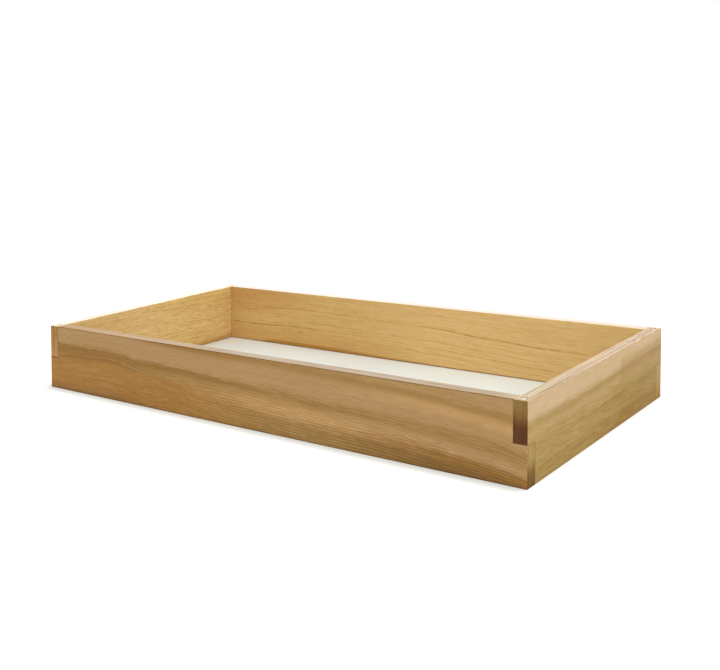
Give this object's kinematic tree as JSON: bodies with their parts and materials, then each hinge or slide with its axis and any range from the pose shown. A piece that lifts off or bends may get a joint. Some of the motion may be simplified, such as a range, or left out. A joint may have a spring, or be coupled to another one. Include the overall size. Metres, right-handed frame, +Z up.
{
  "type": "type case",
  "caption": "Shallow open wooden tray: boards halved and pinned together at the corners, around a thin white base let in flush from below.",
  "frame": {"origin": "centre of the underside, on the plane the case stands on", "axes": "+X along the length, to the right seen from the front; -Y out of the front board; +Z up"},
  "size_m": [0.82, 0.4, 0.0965],
  "materials": {
    "front_wood": "satin",
    "back_wood": "satin",
    "left_wood": "satin",
    "right_wood": "satin",
    "white_base": "satin",
    "pin_steel": "satin",
    "screw_steel": "satin"
  },
  "bodies": {
    "root": {"front_board": "front_wood", "back_board": "back_wood", "left_end_board": "left_wood", "right_end_board": "right_wood", "base_panel": "white_base", "corner_pin_front_left": "pin_steel", "corner_pin_front_right": "pin_steel", "corner_pin_back_left": "pin_steel", "corner_pin_back_right": "pin_steel", "base_screw_front_1": "screw_steel", "base_screw_front_2": "screw_steel", "base_screw_front_3": "screw_steel", "base_screw_front_4": "screw_steel", "base_screw_front_5": "screw_steel", "base_screw_front_6": "screw_steel", "base_screw_back_1": "screw_steel", "base_screw_back_2": "screw_steel", "base_screw_back_3": "screw_steel", "base_screw_back_4": "screw_steel", "base_screw_back_5": "screw_steel", "base_screw_back_6": "screw_steel", "base_screw_left_1": "screw_steel", "base_screw_left_2": "screw_steel", "base_screw_left_3": "screw_steel", "base_screw_right_1": "screw_steel", "base_screw_right_2": "screw_steel", "base_screw_right_3": "screw_steel"}
  },
  "joints": []
}
